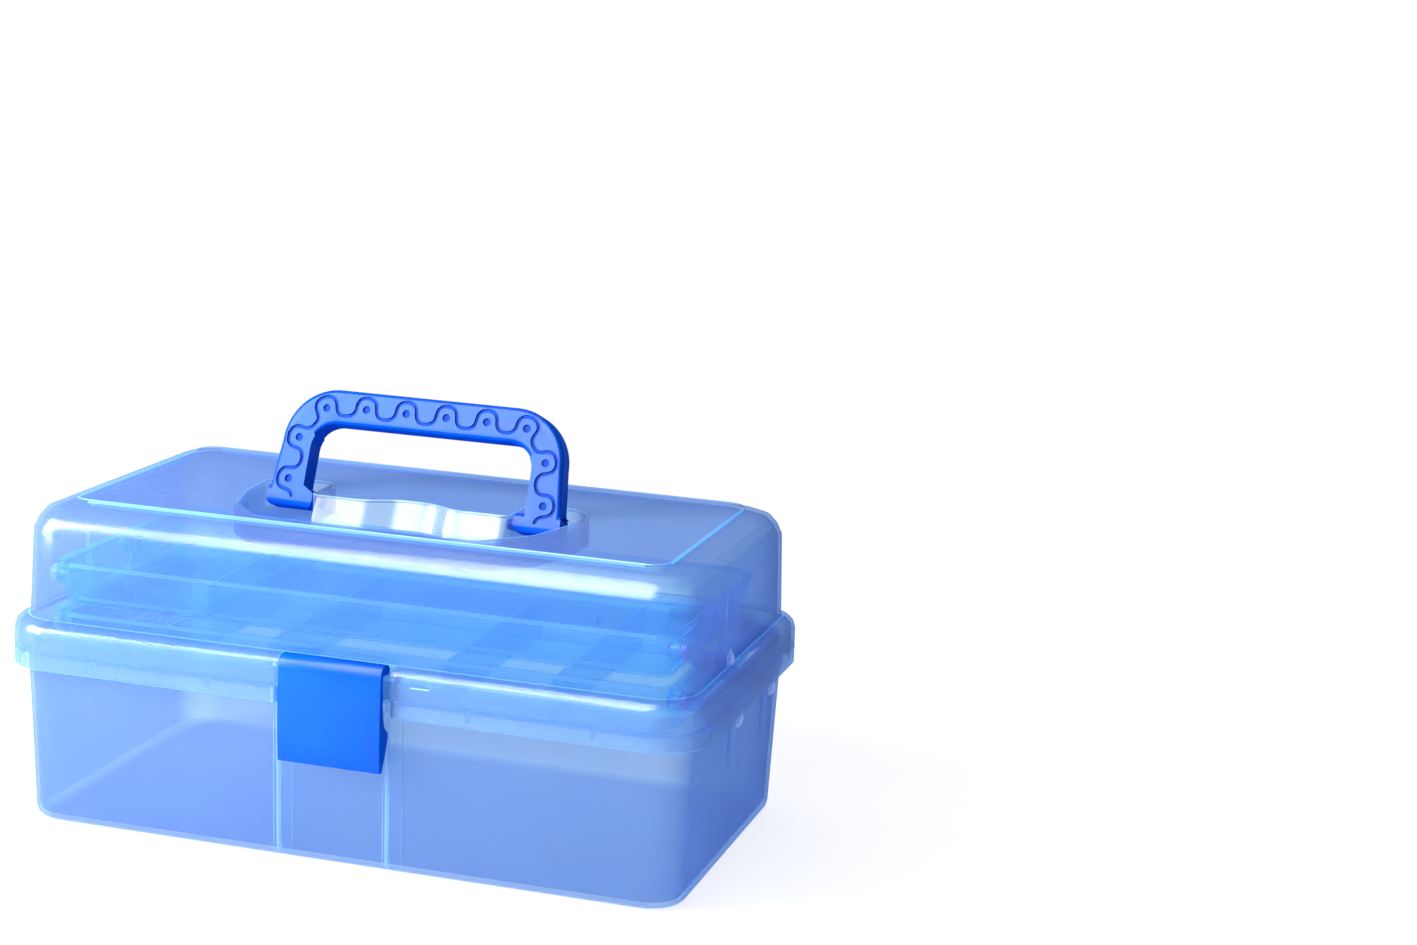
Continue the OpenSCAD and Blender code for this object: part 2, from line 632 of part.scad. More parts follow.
// Side of the latch: shallow beside the rims, deep at the stud, tapered so that its foot can swing in
module latch_flank() {
    polygon([[face_y + 1, ledge_z - 4], [face_y + latch_t + 0.6, ledge_z - 6], [face_y + latch_t + 1, skirt_z + 1.5],
        [latch_y - 1.6, latch_z + 4.6], [latch_y + 0.8, latch_z + 2.5], [latch_y + 2.2, latch_z + 1.2], [latch_y + 2.6, latch_z - 0.4],
        [latch_y + 2.2, latch_z - 2.2], [latch_y + 1.2, latch_z - 5], [latch_y - 0.4, latch_z - 9], [latch_y - 2, latch_z - 12],
        [latch_y - 3.6, latch_foot + 0.6], [face_y + 1.6, latch_foot + 0.1], [face_y + 1, latch_z - 8]]);
}

module front_latch() {
    color(deep_blue) union() {
        translate([-latch_hx, 0, 0]) rotate([90, 0, 90]) linear_extrude(latch_w) latch_profile();
        ends() translate([latch_hx - latch_t, 0, 0]) rotate([90, 0, 90]) linear_extrude(latch_t) latch_flank();
        ends() rod([latch_y, latch_z], lug_x1 - 3.2, latch_hx - 1, latch_stud_r);
    }
}

// ---------------------------------------------------------------- trays
module tray_slab(z, d, i, r) {
    x = tray_hx - i - r;
    y = d / 2 - i - r;
    translate([0, 0, z]) linear_extrude(eps) union() {
        for (sx = [-1, 1], sy = [-1, 1]) translate([sx * x, sy * y]) circle(r);
        square([2 * x, 2 * (y + r)], center = true);
        square([2 * (x + r), 2 * y], center = true);
    }
}

module tray_outer(d, h) {
    hull() {
        tray_slab(0, d, tray_draft + 3.4, 5);
        tray_slab(1, d, tray_draft + 1.2, 6);
        tray_slab(3.4, d, tray_draft, 7);
        tray_slab(h - eps, d, 0, 8);
    }
}

module tray_inner(d, h) {
    hull() {
        tray_slab(tray_wall, d, tray_draft + tray_wall + 2.6, 4);
        tray_slab(tray_wall + 1, d, tray_draft + tray_wall + 0.8, 5);
        tray_slab(tray_wall + 2.8, d, tray_draft + tray_wall, 5.5);
        tray_slab(h + 1, d, tray_wall, 6.5);
    }
}

module tray_bead(d, h) {
    translate([0, 0, h - bead_h]) difference() {
        tray_prism(d, -bead_w, 9, bead_h);
        translate([0, 0, -1]) tray_prism(d, tray_wall, 6.5, bead_h + 2);
    }
}

module tray_prism(d, i, r, h) {
    x = tray_hx - i - r;
    y = d / 2 - i - r;
    linear_extrude(h) union() {
        for (sx = [-1, 1], sy = [-1, 1]) translate([sx * x, sy * y]) circle(r);
        square([2 * x, 2 * (y + r)], center = true);
        square([2 * (x + r), 2 * y], center = true);
    }
}

// Seat for a pivot pin, both sides of a tray's end wall
module tray_boss(p) {
    rod(p, tray_seat, in_x0 - gap, boss_r);
}

module tray(d, h, pivots) {
    // children are the dividers
    difference() {
        union() {
            difference() {
                tray_outer(d, h);
                tray_inner(d, h);
            }
            tray_bead(d, h);
            intersection() {
                tray_outer(d, h);
                children();
            }
            for (p = pivots) ends() tray_boss(p);
        }
        for (p = pivots) ends() rod(p, tray_hx - 12, hx, pin_r + 0.05);
    }
}

module lower_tray() {
    o = [low_front + low_d / 2, low_z];
    color(shell_col) translate([0, o[0], o[1]]) tray(low_d, low_h, [Q1 - o, Q2 - o, Q3 - o])
        for (x = [-low_div_out, -low_div_in, low_div_in, low_div_out])
            translate([x - div_t / 2, -low_d / 2, tray_wall / 2]) cube([div_t, low_d, low_h - div_drop - tray_wall / 2]);
}

module upper_tray() {
    o = [up_front + up_d / 2, up_z];
    color(shell_col) translate([0, o[0], o[1]]) tray(up_d, up_h, [R1 - o, R2 - o]) union() {
        translate([-up_div_x - div_t / 2, -up_d / 2, tray_wall / 2]) cube([div_t, up_d, up_h - div_drop - tray_wall / 2]);
        translate([-tray_hx, -div_t / 2, tray_wall / 2]) cube([2 * tray_hx, div_t, up_h - div_drop - tray_wall / 2]);
    }
}

// ---------------------------------------------------------------- links
// A link lies along +U from its first pivot; the strip is drawn in U-X and cut to a round-ended outline
module link_outline(l) {
    circle(link_w / 2);
    translate([0, -link_w / 2]) square([l, link_w]);
    translate([l, 0]) circle(link_w / 2);
}

module link_bore(u, x0, x1, sunk_from) {
    translate([u, 0, x0 - 1]) cylinder(r = bore_r, h = x1 - x0 + 2);
    if (sunk_from == "out") translate([u, 0, x1 - sunk]) cylinder(r = head_r + 0.15, h = 2);
    if (sunk_from == "in") translate([u, 0, x0 + sunk - 2]) cylinder(r = head_r + 0.15, h = 2);
}

// Turns U-V-X drawing axes onto a line from pivot p at angle a above level, towards the front
module lay(p, a) {
    translate([0, p[0], p[1]]) rotate([90 - 90, 0, 0]) multmatrix([[0, 0, 1, 0], [-cos(a), -sin(a), 0, 0], [sin(a), -cos(a), 0, 0]])
        children();
}

// Strip with a step from the outer plane to the inner plane
module stepped_strip(l) {
    s = step_at;
    e = step_at + 6;
    translate([0, link_w, 0]) rotate([90, 0, 0]) linear_extrude(2 * link_w) polygon([
        [-link_w, out_x0], [s, out_x0], [e, in_x0], [l + link_w, in_x0],
        [l + link_w, in_x1], [e + 0.6, in_x1], [s + 0.6, out_x1], [-link_w, out_x1]]);
}

// Shallow channel between raised edges
module channel(u0, u1, x) {
    translate([u0, -link_w / 2 + 1.5, x - 0.7]) cube([u1 - u0, link_w - 3, 2]);
}

module front_link() {
    color(link_col) lay(P1, link_a) difference() {
        intersection() {
            stepped_strip(link_l);
            translate([0, 0, in_x0 - 1]) linear_extrude(20) link_outline(link_l);
        }
        link_bore(0, out_x0, out_x1, "none");
        link_bore(link_l, in_x0, in_x1, "out");
        channel(6.5, step_at - 1, out_x1);
        channel(step_at + 8, link_l - 6.5, in_x1);
    }
}

module rear_link() {
    l = 2 * link_l;
    color(link_col) lay(P2, link_a) difference() {
        intersection() {
            stepped_strip(l);
            translate([0, 0, in_x0 - 1]) linear_extrude(20) link_outline(l);
        }
        link_bore(0, out_x0, out_x1, "none");
        link_bore(link_l, in_x0, in_x1, "out");
        link_bore(l, in_x0, in_x1, "out");
        channel(6.5, step_at - 1, out_x1);
        channel(step_at + 8, link_l - 6.5, in_x1);
        channel(link_l + 6.5, l - 6.5, in_x1);
    }
}

module upper_link() {
    color(link_col) lay(Q3, link_a) difference() {
        translate([0, 0, in_x0]) linear_extrude(link_t) link_outline(link_l);
        link_bore(0, in_x0, in_x1, "out");
        link_bore(link_l, in_x0, in_x1, "out");
        channel(6.5, link_l - 6.5, in_x1);
    }
}

module lid_link() {
    // from the lid pivot back towards the lower tray's rear pivot
    v = Q3 - L1;
    a = atan2(v[1], -v[0]);
    color(link_col) lay(L1, a) difference() {
        union() {
            translate([0, 0, lid_x0]) linear_extrude(link_t) link_outline(lid_link_l);
            // round boss over the tray pivot
            translate([lid_link_l, 0, lid_x1 - 0.2]) cylinder(r = head_r, h = 0.9);
        }
        link_bore(0, lid_x0, lid_x1, "in");
        channel(6.5, lid_link_l - 6.5, lid_x1);
    }
}

// ---------------------------------------------------------------- pins
module base_pin(p) {
    pin(p, out_x0 - gap - head_t, head_t, head_r, hx - tub_in(p[1]) + 0.4, head_r + 0.5, 1.8);
}

module tray_pin(p) {
    // its dome is inside the tray, so it is drawn from the dome outwards
    mirror([1, 0, 0]) pin(p, -(in_x1 - 0.1), head_t, head_r, -tray_seat, tray_dome_r, 1.4);
}

module lid_pin(p) {
    pin(p, lid_x0 + 0.1, head_t, head_r, hx - lid_in(p[1]) + 0.3, lid_dome_r, 1.8);
}

module base_pivot_pins() {
    color(link_col) ends() for (p = [P1, P2]) base_pin(p);
}

module lower_tray_pins() {
    color(link_col) ends() for (p = [Q1, Q2, Q3]) tray_pin(p);
}

module upper_tray_pins() {
    color(link_col) ends() for (p = [R1, R2]) tray_pin(p);
}

module lid_pivot_pins() {
    color(link_col) ends() lid_pin(L1);
}

module hinge_pin() {
    color(shell_col) rod(H1, hinge_x - hinge_l / 2, hinge_x + hinge_l / 2, hinge_pin_r);
}

base_tub();
lid_shell();
carry_handle();
front_latch();
lower_tray();
upper_tray();
mirror([1, 0, 0]) front_link();  // front_link_left
front_link();  // front_link_right
mirror([1, 0, 0]) rear_link();  // rear_link_left
rear_link();  // rear_link_right
mirror([1, 0, 0]) upper_link();  // upper_link_left
upper_link();  // upper_link_right
mirror([1, 0, 0]) lid_link();  // lid_link_left
lid_link();  // lid_link_right
base_pivot_pins();
lower_tray_pins();
upper_tray_pins();
lid_pivot_pins();
mirror([1, 0, 0]) hinge_pin();  // hinge_pin_left
hinge_pin();  // hinge_pin_right
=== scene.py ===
"""Looks of a translucent blue art supply box: moulded shells, two trays on links, a handle and a latch."""
import json
import math

import bmesh
import bpy
import numpy as np
from mathutils import Matrix, Vector


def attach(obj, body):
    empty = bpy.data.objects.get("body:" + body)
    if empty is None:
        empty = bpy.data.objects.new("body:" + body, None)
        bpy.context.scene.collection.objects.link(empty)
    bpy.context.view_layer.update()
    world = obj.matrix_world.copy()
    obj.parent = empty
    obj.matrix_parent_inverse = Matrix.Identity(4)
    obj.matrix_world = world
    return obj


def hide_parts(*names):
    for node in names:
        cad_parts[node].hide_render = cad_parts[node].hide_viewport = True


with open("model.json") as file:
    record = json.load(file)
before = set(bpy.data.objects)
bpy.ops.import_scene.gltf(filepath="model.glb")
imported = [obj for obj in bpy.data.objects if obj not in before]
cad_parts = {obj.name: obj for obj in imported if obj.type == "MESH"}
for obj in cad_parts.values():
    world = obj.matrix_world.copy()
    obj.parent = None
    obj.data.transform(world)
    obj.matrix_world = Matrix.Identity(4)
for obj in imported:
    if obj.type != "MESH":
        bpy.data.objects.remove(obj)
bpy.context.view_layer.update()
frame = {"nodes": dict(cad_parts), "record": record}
MM = 0.001
WHITE = (1.0, 1.0, 1.0, 1.0)


# ---------------------------------------------------------------- small tools
def linear(code):
    """sRGB hex to a linear colour."""
    parts = [int(code[i:i + 2], 16) / 255 for i in (1, 3, 5)]
    return tuple(c / 12.92 if c <= 0.04045 else ((c + 0.055) / 1.055) ** 2.4 for c in parts) + (1.0,)


def node(tree, kind, settings=None, stops=(), **inputs):
    """Adds one node.

    settings are its own values, and stops the two places and colours of a colour ramp. An input
    is a socket's name, or its number after an underscore, with a value or another node's output.
    A Mix node's numbers go in sockets 2 and 3, its colours in 6 and 7, and its colour leaves by 2."""
    made = tree.nodes.new(kind)
    for key, value in (settings or {}).items():
        setattr(made, key, value)
    for number, (place, colour) in enumerate(stops):
        made.color_ramp.elements[number].position = place
        made.color_ramp.elements[number].color = linear(colour)
    for key, value in inputs.items():
        name = key.replace("_", " ")
        socket = made.inputs[name] if name in made.inputs else made.inputs[int(key[1:])]
        if isinstance(value, bpy.types.NodeSocket):
            tree.links.new(value, socket)
        else:
            socket.default_value = value
    return made


def new_material(name):
    """An empty node material, its tree and its output."""
    made = bpy.data.materials.new(name)
    made.use_nodes = True
    made.node_tree.nodes.clear()
    return made, made.node_tree, made.node_tree.nodes.new("ShaderNodeOutputMaterial")


# ---------------------------------------------------------------- materials
POLYPROPYLENE_IOR = 1.49
# share of light that each surface's gloss sends back, the same at every angle
CLEAR_GLOSS = 0.016
ROYAL_GLOSS = 0.0105
PRESSED_GLOSS = 0.002
# least and greatest roughness of the scattering wall, of the gloss over it and of the royal blue's
WALL_ROUGH = (0.36, 0.56)
CLEAR_ROUGH = (0.12, 0.22)
ROYAL_ROUGH = (0.18, 0.32)
# narrow edges of the clear walls: the paler cyan of the light out of them, painted into their colour as a
# glow, and how much they hide
EDGE_PAINTED_GLOW = "#9ADBFF"
EDGE_HAZE = 0.55
# the skirt and the rim inside it, which are thicker: colour, height of their middle, half height, soft end
RIM_LIGHT = "#AEDCFF"
RIM_PALER = 4.0
RIM_MIDDLE = 82 * MM
RIM_HALF = 10 * MM
RIM_FADE = 0.5 * MM
# upright lines where the front wall is stepped, painted with the edges' glow: half width, soft end, strength,
# and how far back they reach
STEP_HALF = 0.7 * MM
STEP_FADE = 0.2 * MM
STEP_LIGHT = 0.75
FRONT_WALL = -78 * MM
# painted shade on the handle's rounded edges and pressed lines, and the latch's narrow edges
PAINTED_SHADE_BLUE = "#003A9E"
# Layer Weight's Facing value from which a look counts as wholly slanting
SLANTING = 0.8


def front_line(tree, place, middle):
    """Up to 1 on an upright line 1.4 mm wide, where a step of the mould makes the front wall thick: a mask
    for painted edge glow.
    """
    apart = node(tree, "ShaderNodeSeparateXYZ", Vector=place)
    off = node(tree, "ShaderNodeMath", {"operation": "SUBTRACT"}, _0=apart.outputs["X"], _1=middle * MM)
    off = node(tree, "ShaderNodeMath", {"operation": "ABSOLUTE"}, _0=off.outputs[0])
    line = node(tree, "ShaderNodeMapRange", Value=off.outputs[0], From_Min=STEP_HALF - STEP_FADE,
                From_Max=STEP_HALF + STEP_FADE, To_Min=STEP_LIGHT, To_Max=0.0)
    front = node(tree, "ShaderNodeMath", {"operation": "LESS_THAN"}, _0=apart.outputs["Y"], _1=FRONT_WALL)
    return node(tree, "ShaderNodeMath", {"operation": "MULTIPLY"},
                _0=line.outputs["Result"], _1=front.outputs[0]).outputs[0]


def clear_polypropylene(name, body, deep, through, slanting, level, haze, rims=0.0, steps=()):
    """Translucent moulded polypropylene: light passes tinted, the rest scatters in the wall.

    The flow of the melt leaves wide faint clouds, and the mould's polish a fine uneven gloss.
    body and deep are the wall's scattered colour, through is the tint of what shows straight
    through one surface, slanting that of a long way through an upright wall, deep enough to also paint
    the shade of the box's far end, and level that of a long way through a level face, lighter as painted
    light from the lamps above and the white paper below; haze is how much of what is behind it hides,
    straight and slanting.
    rims is how much the thick rims hide, and steps are the places of the front wall's steps in mm."""
    made, tree, out = new_material(name)
    place = node(tree, "ShaderNodeTexCoord").outputs["Object"]
    # melt flow, clouds of about 60 mm
    flow = node(tree, "ShaderNodeTexNoise", Vector=place, Scale=1 / (60 * MM), Detail=3.0, Roughness=0.55)
    # mould polish, marks of about 9 mm
    polish = node(tree, "ShaderNodeTexNoise", Vector=place, Scale=1 / (9 * MM), Detail=4.0,
                  Roughness=0.6).outputs["Fac"]
    # waves of about 14 mm that the cooling leaves in the flats
    peel = node(tree, "ShaderNodeTexNoise", Vector=place, Scale=1 / (14 * MM), Detail=1.0)
    bump = node(tree, "ShaderNodeBump", Strength=0.25, Distance=0.025 * MM,
                Height=peel.outputs["Fac"]).outputs["Normal"]
    colour = node(tree, "ShaderNodeValToRGB", stops=((0.3, deep), (0.7, body)), Fac=flow.outputs["Fac"])
    # the skirt and the rim inside it are thicker and paler
    height = node(tree, "ShaderNodeSeparateXYZ", Vector=place).outputs["Z"]
    off = node(tree, "ShaderNodeMath", {"operation": "SUBTRACT"}, _0=height, _1=RIM_MIDDLE)
    off = node(tree, "ShaderNodeMath", {"operation": "ABSOLUTE"}, _0=off.outputs[0])
    thick = node(tree, "ShaderNodeMapRange", Value=off.outputs[0], From_Min=RIM_HALF - RIM_FADE,
                 From_Max=RIM_HALF + RIM_FADE, To_Min=rims, To_Max=0.0).outputs["Result"]
    paler = node(tree, "ShaderNodeMath", {"operation": "MULTIPLY"}, _0=thick, _1=RIM_PALER).outputs[0]
    colour = node(tree, "ShaderNodeMix", {"data_type": "RGBA"},
                  Factor=paler, _6=colour.outputs["Color"], _7=linear(RIM_LIGHT))
    # light that runs along inside the walls comes out of their narrow edges: a painted glow, a paler cyan
    # mixed into their colour
    edge = node(tree, "ShaderNodeAttribute", {"attribute_name": "edge"}).outputs["Fac"]
    for step in steps:
        edge = node(tree, "ShaderNodeMath", {"operation": "MAXIMUM"},
                    _0=edge, _1=front_line(tree, place, step)).outputs[0]
    colour = node(tree, "ShaderNodeMix", {"data_type": "RGBA"},
                  Factor=edge, _6=colour.outputs[2], _7=linear(EDGE_PAINTED_GLOW)).outputs[2]
    dull = node(tree, "ShaderNodeMapRange", Value=polish, To_Min=WALL_ROUGH[0], To_Max=WALL_ROUGH[1])
    skin = node(tree, "ShaderNodeBsdfPrincipled", Base_Color=colour, IOR=POLYPROPYLENE_IOR, Normal=bump,
                Roughness=dull.outputs["Result"])
    glow = node(tree, "ShaderNodeBsdfTranslucent", Color=colour)
    wall = node(tree, "ShaderNodeMixShader", Fac=0.5, _1=skin.outputs[0], _2=glow.outputs[0])
    # a slanting look crosses more plastic, so its tint is deeper and its haze thicker;
    # the deeper tint also paints the shade of the box's far end
    slant = node(tree, "ShaderNodeLayerWeight", Blend=0.5).outputs["Facing"]
    # painted light: level faces get a lighter long-way tint, for the lamps above and the white paper below
    lying = node(tree, "ShaderNodeAttribute", {"attribute_name": "level"}).outputs["Fac"]
    long_way_and_painted_light = node(tree, "ShaderNodeValToRGB", stops=((0.3, slanting), (0.9, level)), Fac=lying)
    short_way = node(tree, "ShaderNodeMapRange", Value=slant, From_Max=SLANTING)
    tint = node(tree, "ShaderNodeMix", {"data_type": "RGBA"}, Factor=short_way.outputs["Result"],
                _6=linear(through), _7=long_way_and_painted_light.outputs["Color"])
    clear = node(tree, "ShaderNodeBsdfTransparent", Color=tint.outputs[2])
    hidden = node(tree, "ShaderNodeMapRange", Value=slant, From_Max=SLANTING, To_Min=haze[0], To_Max=haze[1])
    hidden = node(tree, "ShaderNodeMath", {"operation": "MAXIMUM"}, _0=hidden.outputs["Result"], _1=thick)
    hidden = node(tree, "ShaderNodeMix", Factor=edge, _2=hidden.outputs[0], _3=EDGE_HAZE)
    both = node(tree, "ShaderNodeMixShader", Fac=hidden.outputs[0], _1=clear.outputs[0], _2=wall.outputs[0])
    # the surface's own gloss lies over both
    fine = node(tree, "ShaderNodeMapRange", Value=polish, To_Min=CLEAR_ROUGH[0], To_Max=CLEAR_ROUGH[1])
    shine = node(tree, "ShaderNodeBsdfGlossy", Color=WHITE, Normal=bump, Roughness=fine.outputs["Result"])
    coat = node(tree, "ShaderNodeMixShader", Fac=CLEAR_GLOSS, _1=both.outputs[0], _2=shine.outputs[0])
    tree.links.new(coat.outputs[0], out.inputs["Surface"])
    return made


def royal_polypropylene(name, bright, deep):
    """Opaque pigmented polypropylene, injection moulded and polished: deep colour under a soft gloss."""
    made, tree, out = new_material(name)
    place = node(tree, "ShaderNodeTexCoord").outputs["Object"]
    # pigment clouds of about 26 mm, polish marks of about 5 mm and a grain of about 1.8 mm
    flow = node(tree, "ShaderNodeTexNoise", Vector=place, Scale=1 / (26 * MM), Detail=4.0, Roughness=0.6)
    polish = node(tree, "ShaderNodeTexNoise", Vector=place, Scale=1 / (5 * MM), Detail=5.0, Roughness=0.6)
    peel = node(tree, "ShaderNodeTexNoise", Vector=place, Scale=1 / (1.8 * MM), Detail=1.5)
    bump = node(tree, "ShaderNodeBump", Strength=0.15, Distance=0.05 * MM,
                Height=peel.outputs["Fac"]).outputs["Normal"]
    colour = node(tree, "ShaderNodeValToRGB", stops=((0.32, deep), (0.68, bright)), Fac=flow.outputs["Fac"])
    # painted shade: rounded edges, pressed lines and dimples are drawn darker and with less gloss than the
    # flat faces
    pressed = node(tree, "ShaderNodeAttribute", {"attribute_name": "edge"}).outputs["Fac"]
    colour = node(tree, "ShaderNodeMix", {"data_type": "RGBA"},
                  Factor=pressed, _6=colour.outputs["Color"], _7=linear(PAINTED_SHADE_BLUE))
    skin = node(tree, "ShaderNodeBsdfPrincipled", Base_Color=colour.outputs[2], Roughness=0.6, Normal=bump)
    skin.inputs["Specular IOR Level"].default_value = 0.0
    # a thin even gloss, which leaves the sides as deep as the pigment
    fine = node(tree, "ShaderNodeMapRange", Value=polish.outputs["Fac"],
                To_Min=ROYAL_ROUGH[0], To_Max=ROYAL_ROUGH[1])
    shine = node(tree, "ShaderNodeBsdfGlossy", Color=WHITE, Normal=bump, Roughness=fine.outputs["Result"])
    share = node(tree, "ShaderNodeMapRange", Value=pressed, To_Min=ROYAL_GLOSS, To_Max=PRESSED_GLOSS)
    coat = node(tree, "ShaderNodeMixShader", Fac=share.outputs["Result"],
                _1=skin.outputs[0], _2=shine.outputs[0])
    tree.links.new(coat.outputs[0], out.inputs["Surface"])
    return made


lilac_tub = clear_polypropylene(
    "clear_blue_polypropylene", body="#A9C6F8", deep="#9CBBF4", through="#E7F2FB", slanting="#93B2D6",
    level="#D6E8FA", haze=(0.06, 0.26), rims=0.2, steps=(-28.5, 23.2))
azure_lid = clear_polypropylene(
    "clear_azure_polypropylene", body="#A9C8FA", deep="#9CBBF6", through="#EFF7FC", slanting="#8FAED0",
    level="#AFC6E2", haze=(0.04, 0.24), rims=0.17)
tray_blue = clear_polypropylene(
    "tray_blue_polypropylene", body="#7AD4FF", deep="#6CCAFC", through="#EFFCFF", slanting="#CCF0FC",
    level="#DDF9FF", haze=(0.09, 0.16))
milky = clear_polypropylene(
    "milky_polypropylene", body="#E6ECFF", deep="#DAE2FA", through="#F4F6FF", slanting="#E4E8FA",
    level="#E8ECFA", haze=(0.22, 0.5))
royal_blue = royal_polypropylene("royal_blue_polypropylene", bright="#0049B8", deep="#0043AC")


# ---------------------------------------------------------------- pieces taken over from the solids
# vertices nearer than this are one, and faces that turn by less are one flat face
MERGED = 0.002 * MM
FLAT_TURN = math.radians(0.4)
# edges that turn by more are sharp; the latch's curves have coarser steps
SHARP_TURN = math.radians(32)
LATCH_TURN = math.radians(60)
# a corner that is broken turns by more than this
CORNER_TURN = math.radians(50)
# widest strip that counts as a wall's narrow edge, and the least sharp share of its outline
NARROW = 2.4 * MM
SHARP_SHARE = 0.45


def narrow_edge(face):
    """1 for a narrow strip between sharp edges, such as the top of a wall or of a rib.

    A long strip's width is about twice its area over the length of its outline."""
    around = sum(rim.calc_length() for rim in face.edges)
    sharp = sum(rim.calc_length() for rim in face.edges if not rim.smooth)
    return float(sharp > SHARP_SHARE * around and 2 * face.calc_area() < NARROW * around)


def set_sharp(edges, turn):
    """Shades edges that turn by less as part of a curved face."""
    for rim in edges:
        rim.smooth = rim.calc_face_angle(0.0) < turn


def bevel(work, chosen, size, segments, clamped=True):
    """Rounds or breaks the chosen edges by a size in mm, and returns the new faces."""
    return bmesh.ops.bevel(work, geom=chosen, offset=size * MM, segments=segments, profile=0.5,
                           affect="EDGES", clamp_overlap=clamped)["faces"]


def smoothed_copy(name, material):
    """Copy of a node's solid with its doubles merged, its own changes of shape and smooth curved faces."""
    mesh = frame["nodes"][name].data.copy()
    mesh.name = name + "_skin"
    work = bmesh.new()
    work.from_mesh(mesh)
    bmesh.ops.remove_doubles(work, verts=work.verts, dist=MERGED)
    bmesh.ops.dissolve_limit(work, angle_limit=FLAT_TURN, verts=work.verts, edges=work.edges)
    for face in work.faces:
        face.smooth = True
    set_sharp(work.edges, LATCH_TURN if name == "front_latch" else SHARP_TURN)
    marked = SHAPES[name](work) if name in SHAPES else None
    narrow = [narrow_edge(face) if marked is None else float(face in marked) for face in work.faces]
    work.to_mesh(mesh)
    work.free()
    # how level each face lies and whether it is a narrow edge, which its material reads
    turned = np.empty(len(mesh.polygons) * 3, np.float32)
    corners = np.empty(len(mesh.polygons), np.int32)
    mesh.polygons.foreach_get("normal", turned)
    mesh.polygons.foreach_get("loop_total", corners)
    for title, values in (("level", np.abs(turned[2::3])), ("edge", np.array(narrow, np.float32))):
        layer = mesh.attributes.new(title, "FLOAT", "CORNER")
        layer.data.foreach_set("value", np.repeat(values, corners))
    mesh.materials.clear()
    mesh.materials.append(material)
    piece = bpy.data.objects.new(name + "_skin", mesh)
    bpy.context.scene.collection.objects.link(piece)
    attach(piece, node_body[name])
    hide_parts(name)


# the handle in mm: thickness, lean to the back, and where its own axes start
HANDLE_THICK = 11.6
LEAN = math.radians(21)
HANDLE_Y = -1.5
HANDLE_Z = 142.7
# its middle line: centre and radius of the corners, height of the grip, lean of the legs
BEND_X = 43.5
BEND_Z = 27.5
BEND_R = 17.25
GRIP_Z = 44.75
LEG_LEAN = math.radians(5.71)
# its outline lies further than this from the middle line, and above the feet
BAR_EDGE = 7.2
FEET_TOP = 3
ON_FACE = 0.02
HANDLE_ROUND = 1.7
# least and greatest depth of the floors of its pressed lines and dimples
PRESSED_DEPTH = (0.25, 1.6)


def from_middle(x, height):
    """Distance from the handle's middle line: a straight grip, a round corner on each side, straight legs."""
    x = abs(x)
    leg_x = BEND_X + BEND_R * math.cos(LEG_LEAN)
    leg_z = BEND_Z + BEND_R * math.sin(LEG_LEAN)
    if height < leg_z and x > BEND_X:
        return abs((x - leg_x) * math.cos(LEG_LEAN) + (height - leg_z) * math.sin(LEG_LEAN))
    if x > BEND_X:
        return abs(math.hypot(x - BEND_X, height - BEND_Z) - BEND_R)
    return abs(height - GRIP_Z)


def rounded_handle(work):
    """Rounds the long edges of the handle's bar; marks them and the floors of its pressed lines for painted
    shade.
    """
    def on_handle(point):
        """The point in the handle's own axes in mm: across, to the back and up along its lean."""
        x, y, z = (c / MM for c in point)
        y, z = y - HANDLE_Y, z - HANDLE_Z
        return x, y * math.cos(LEAN) - z * math.sin(LEAN), y * math.sin(LEAN) + z * math.cos(LEAN)

    def on_outline(vert):
        """Whether a vertex lies on the outline of the bar's front or back face."""
        x, back, height = on_handle(vert.co)
        on_face = abs(abs(back) - HANDLE_THICK / 2) < ON_FACE
        return on_face and height > FEET_TOP and from_middle(x, height) > BAR_EDGE

    def is_sunk(face):
        """Whether a face is the floor of a pressed line or dimple."""
        depth = on_handle(face.calc_center_median())[1] + HANDLE_THICK / 2
        return PRESSED_DEPTH[0] < depth < PRESSED_DEPTH[1] and narrow_edge(face)

    chosen = [rim for rim in work.edges if not rim.smooth and all(on_outline(vert) for vert in rim.verts)]
    # clamping by the short edges nearby would leave a radius of about 0.1 mm
    rounded = bevel(work, chosen, HANDLE_ROUND, 5, clamped=False)
    for face in rounded:
        face.smooth = True
        set_sharp(face.edges, SHARP_TURN)
    return {face for face in work.faces if is_sunk(face)} | set(rounded)


# the lid in mm: edges above this height belong to the raised panel and the well
PANEL_TOP = 148.3
PANEL_BREAK = 0.6
# the seat beside the latch: the box round its mouth, the front of it, and the size of its broken edge
SEAT_LOW = (35.8, -math.inf, 88.2)
SEAT_HIGH = (44.7, -90.05, 92.4)
SEAT_FRONT = -90.5
SEAT_BREAK = 0.45
# an edge that runs to the back by more than this share of its length is no edge of the mouth
SEAT_SLOPE = 0.6
# the foot of the well's back wall: the box round it, and how far it is moved to the front
WALL_LOW = (-47, -13, 130)
WALL_HIGH = (47, 1, 137)
WALL_SLOPE = 6.5


def within(vert, low, high):
    """Whether a vertex lies in a box given by two corners in mm."""
    return all(least < c / MM < most for least, c, most in zip(low, vert.co, high))


def seat_mouth(rim):
    """Whether an edge belongs to the mouth of the seat beside the latch."""
    ends = rim.verts
    return (rim.calc_face_angle(0.0) > CORNER_TURN and all(within(vert, SEAT_LOW, SEAT_HIGH) for vert in ends)
            and any(vert.co.y < SEAT_FRONT * MM for vert in ends)
            and abs(ends[0].co.y - ends[1].co.y) < SEAT_SLOPE * rim.calc_length())


